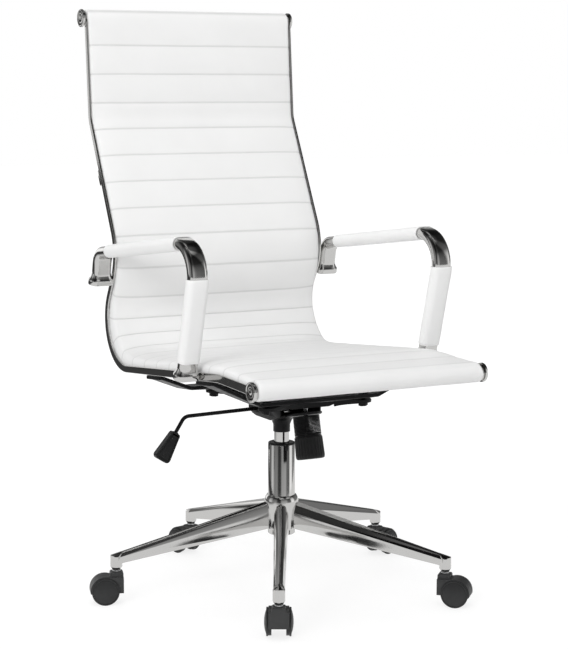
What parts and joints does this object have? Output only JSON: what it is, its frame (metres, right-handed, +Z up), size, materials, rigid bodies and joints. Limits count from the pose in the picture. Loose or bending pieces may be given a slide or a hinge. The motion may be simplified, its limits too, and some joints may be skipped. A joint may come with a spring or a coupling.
{
  "type": "swivel armchair",
  "caption": "High-backed swivel armchair: ribbed sling between side rails, loop arms, tilt mechanism, gas lift and star base on casters.",
  "frame": {"origin": "middle of the bounding box at floor level, under the wheels", "axes": "+Z up; the seat faces -Y; +X is the sitter's left"},
  "size_m": [0.692, 0.757, 1.0729],
  "materials": {
    "chrome": "polished",
    "dark_steel": "satin black paint",
    "steel": "bare steel",
    "black_plastic": "fine grain",
    "wheel_nylon": "fine grain",
    "white_leather": "coated leather, stitched in cross ribs",
    "sleeve_leather": "coated leather sewn into a tube"
  },
  "bodies": {
    "base": {"star_base": "chrome", "column_outer_tube": "chrome", "column_guide_bush": "black_plastic", "piston_rod": "steel"},
    "caster_1": {"caster_1_stem": "steel", "caster_1_hood": "black_plastic", "caster_1_axle": "steel"},
    "caster_1_roller_a": {"caster_1_wheel_a": "wheel_nylon"},
    "caster_1_roller_b": {"caster_1_wheel_b": "wheel_nylon"},
    "caster_2": {"caster_2_stem": "steel", "caster_2_hood": "black_plastic", "caster_2_axle": "steel"},
    "caster_2_roller_a": {"caster_2_wheel_a": "wheel_nylon"},
    "caster_2_roller_b": {"caster_2_wheel_b": "wheel_nylon"},
    "caster_3": {"caster_3_stem": "steel", "caster_3_hood": "black_plastic", "caster_3_axle": "steel"},
    "caster_3_roller_a": {"caster_3_wheel_a": "wheel_nylon"},
    "caster_3_roller_b": {"caster_3_wheel_b": "wheel_nylon"},
    "caster_4": {"caster_4_stem": "steel", "caster_4_hood": "black_plastic", "caster_4_axle": "steel"},
    "caster_4_roller_a": {"caster_4_wheel_a": "wheel_nylon"},
    "caster_4_roller_b": {"caster_4_wheel_b": "wheel_nylon"},
    "caster_5": {"caster_5_stem": "steel", "caster_5_hood": "black_plastic", "caster_5_axle": "steel"},
    "caster_5_roller_a": {"caster_5_wheel_a": "wheel_nylon"},
    "caster_5_roller_b": {"caster_5_wheel_b": "wheel_nylon"},
    "lift": {"gas_lift_cylinder": "chrome"},
    "release": {"release_pin": "steel"},
    "mechanism": {"mechanism_housing": "dark_steel", "tilt_pivot_pin": "steel", "tension_spring": "dark_steel"},
    "lever_carrier": {"lever_bush": "black_plastic"},
    "lever": {"lever_rod": "dark_steel", "lever_grip": "black_plastic"},
    "seat": {"seat_plate": "dark_steel", "seat_cross_bar_front": "dark_steel", "seat_cross_bar_rear": "dark_steel", "back_cross_bar": "dark_steel", "side_rail_left": "chrome", "side_rail_right": "chrome", "front_roll_bar": "steel", "top_roll_bar": "steel", "front_cap_left": "chrome", "front_cap_right": "chrome", "top_cap_left": "chrome", "top_cap_right": "chrome", "sling": "white_leather", "arm_loop_left": "chrome", "arm_loop_right": "chrome", "arm_top_sleeve_left": "sleeve_leather", "arm_top_sleeve_right": "sleeve_leather", "arm_upright_sleeve_left": "sleeve_leather", "arm_upright_sleeve_right": "sleeve_leather"},
    "tension_bolt": {"tension_bolt": "steel"},
    "tension_plate": {"tension_washer": "steel"},
    "tension_knob": {"tension_knob": "black_plastic"}
  },
  "joints": [
    {"name": "caster_1_swivel", "type": "hinge", "parent": "base", "child": "caster_1", "pos_m": [-0.13718, -0.31787, 0.062], "axis": [0, 0, 1], "continuous": true},
    {"name": "caster_1_roll_a", "type": "hinge", "parent": "caster_1", "child": "caster_1_roller_a", "pos_m": [-0.12732, -0.29933, 0.025], "axis": [-0.8829, 0.4695, 0], "continuous": true},
    {"name": "caster_1_roll_b", "type": "hinge", "parent": "caster_1", "child": "caster_1_roller_b", "pos_m": [-0.12732, -0.29933, 0.025], "axis": [-0.8829, 0.4695, 0], "continuous": true},
    {"name": "caster_2_swivel", "type": "hinge", "parent": "base", "child": "caster_2", "pos_m": [0.22713, -0.27055, 0.062], "axis": [0, 0, 1], "continuous": true},
    {"name": "caster_2_roll_a", "type": "hinge", "parent": "caster_2", "child": "caster_2_roller_a", "pos_m": [0.24223, -0.28514, 0.025], "axis": [0.6947, 0.7193, 0], "continuous": true},
    {"name": "caster_2_roll_b", "type": "hinge", "parent": "caster_2", "child": "caster_2_roller_b", "pos_m": [0.24223, -0.28514, 0.025], "axis": [0.6947, 0.7193, 0], "continuous": true},
    {"name": "caster_3_swivel", "type": "hinge", "parent": "base", "child": "caster_3", "pos_m": [0.29471, 0.09054, 0.062], "axis": [0, 0, 1], "continuous": true},
    {"name": "caster_3_roll_a", "type": "hinge", "parent": "caster_3", "child": "caster_3_roller_a", "pos_m": [0.31444, 0.09772, 0.025], "axis": [-0.342, 0.9397, 0], "continuous": true},
    {"name": "caster_3_roll_b", "type": "hinge", "parent": "caster_3", "child": "caster_3_roller_b", "pos_m": [0.31444, 0.09772, 0.025], "axis": [-0.342, 0.9397, 0], "continuous": true},
    {"name": "caster_4_swivel", "type": "hinge", "parent": "base", "child": "caster_4", "pos_m": [-0.02784, 0.2664, 0.062], "axis": [0, 0, 1], "continuous": true},
    {"name": "caster_4_roll_a", "type": "hinge", "parent": "caster_4", "child": "caster_4_roller_a", "pos_m": [-0.03327, 0.28668, 0.025], "axis": [-0.9659, -0.2588, 0], "continuous": true},
    {"name": "caster_4_roll_b", "type": "hinge", "parent": "caster_4", "child": "caster_4_roller_b", "pos_m": [-0.03327, 0.28668, 0.025], "axis": [-0.9659, -0.2588, 0], "continuous": true},
    {"name": "caster_5_swivel", "type": "hinge", "parent": "base", "child": "caster_5", "pos_m": [-0.29475, 0.01398, 0.062], "axis": [0, 0, 1], "continuous": true},
    {"name": "caster_5_roll_a", "type": "hinge", "parent": "caster_5", "child": "caster_5_roller_a", "pos_m": [-0.31473, 0.02047, 0.025], "axis": [-0.309, -0.9511, 0], "continuous": true},
    {"name": "caster_5_roll_b", "type": "hinge", "parent": "caster_5", "child": "caster_5_roller_b", "pos_m": [-0.31473, 0.02047, 0.025], "axis": [-0.309, -0.9511, 0], "continuous": true},
    {"name": "seat_height", "type": "slide", "parent": "base", "child": "lift", "axis": [0, 0, 1], "range_m": [0, 0.09]},
    {"name": "release_press", "type": "slide", "parent": "lift", "child": "release", "axis": [0, 0, -1], "range_m": [0, 0.0052]},
    {"name": "seat_swivel", "type": "hinge", "parent": "lift", "child": "mechanism", "pos_m": [0.01241, -0.0435, 0.299], "axis": [0, 0, 1], "continuous": true},
    {"name": "lever_pull", "type": "slide", "parent": "mechanism", "child": "lever_carrier", "axis": [-1, 0, 0], "range_m": [0, 0.009]},
    {"name": "lever_lift", "type": "hinge", "parent": "lever_carrier", "child": "lever", "pos_m": [-0.02959, -0.0435, 0.3455], "axis": [0, 1, 0], "range_deg": [0, 5.5], "stiffness_Nm_per_rad": 3, "springref_deg": -5.73},
    {"name": "recline", "type": "hinge", "parent": "mechanism", "child": "seat", "pos_m": [0.01241, -0.0665, 0.3445], "axis": [-1, 0, 0], "range_deg": [0, 10], "stiffness_Nm_per_rad": 200, "springref_deg": -14.32, "deforming": ["tension_spring"]},
    {"name": "bolt_swing", "type": "hinge", "parent": "seat", "child": "tension_bolt", "pos_m": [0.01241, -0.1293, 0.37355], "axis": [1, 0, 0], "range_deg": [0, 7.5]},
    {"name": "tension_advance", "type": "slide", "parent": "tension_bolt", "child": "tension_plate", "axis": [0, 0.2368, 0.9715], "range_m": [0, 0.0025], "deforming": ["tension_spring"]},
    {"name": "knob_turn", "type": "hinge", "parent": "tension_plate", "child": "tension_knob", "pos_m": [0.01241, -0.15071, 0.28571], "axis": [0, 0.2368, 0.9715], "range_deg": [0, 720]}
  ],
  "couplings": [
    {"joint": "release_press", "follows": "lever_lift", "m_per_rad": 0.052},
    {"joint": "bolt_swing", "follows": "recline", "ratio": 0.72},
    {"joint": "knob_turn", "follows": "tension_advance", "rad_per_m": 5025}
  ]
}
